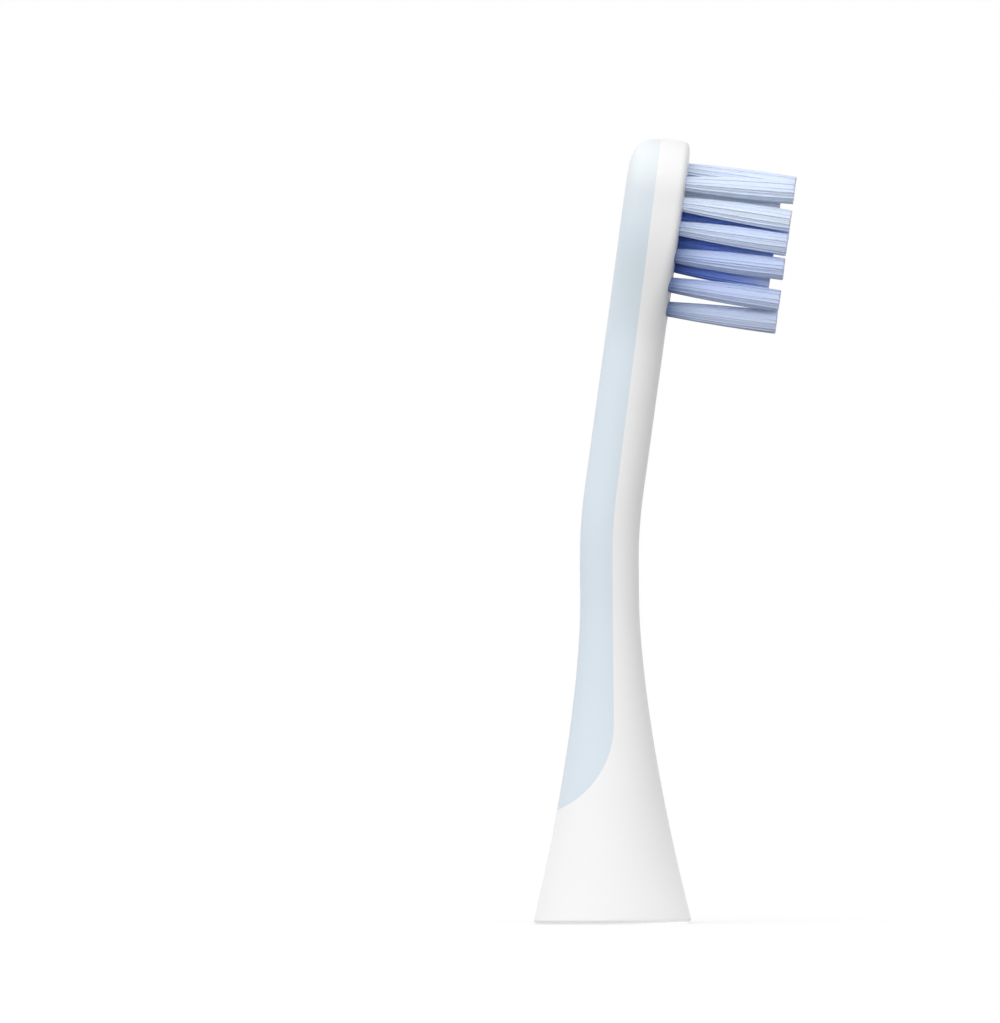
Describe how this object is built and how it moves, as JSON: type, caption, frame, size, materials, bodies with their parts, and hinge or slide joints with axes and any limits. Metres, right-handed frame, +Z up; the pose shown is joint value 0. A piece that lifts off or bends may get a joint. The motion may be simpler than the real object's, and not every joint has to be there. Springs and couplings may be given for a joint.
{
  "type": "electric toothbrush head",
  "caption": "Push-on brush head for a powered toothbrush: flared hollow foot with a shaft socket, slim bent neck with a soft back skin, and a droplet-shaped head with nylon tufts.",
  "frame": {"origin": "centre of the foot's rim, on the axis of the shaft socket", "axes": "+Z up along the shaft's axis towards the head, +X on the side of the bristles"},
  "size_m": [0.027, 0.0158, 0.0784],
  "materials": {
    "body_white": "gloss",
    "grip_blue": "satin",
    "bristle_blue": "satin",
    "socket_plastic": "matte",
    "spring_steel": "brushed",
    "anchor_brass": "bright"
  },
  "bodies": {
    "root": {"head_body": "body_white", "back_grip": "grip_blue", "shaft_socket": "socket_plastic", "shaft_spring": "spring_steel", "tuft_anchors": "anchor_brass", "tuft_1_left": "bristle_blue", "tuft_1_right": "bristle_blue", "tuft_2_left": "bristle_blue", "tuft_2_right": "bristle_blue", "tuft_3_left": "bristle_blue", "tuft_3_right": "bristle_blue", "tuft_4_left": "bristle_blue", "tuft_4_right": "bristle_blue", "tuft_5_left": "bristle_blue", "tuft_5_right": "bristle_blue", "tuft_6_left": "bristle_blue", "tuft_6_right": "bristle_blue", "tuft_7_left": "bristle_blue", "tuft_7_right": "bristle_blue", "tuft_8_left": "bristle_blue", "tuft_8_right": "bristle_blue", "tuft_9_left": "bristle_blue", "tuft_9_right": "bristle_blue", "tuft_10_left": "bristle_blue", "tuft_10_right": "bristle_blue", "tuft_11_middle": "bristle_blue", "tuft_12_left": "bristle_blue", "tuft_12_right": "bristle_blue"}
  },
  "joints": []
}
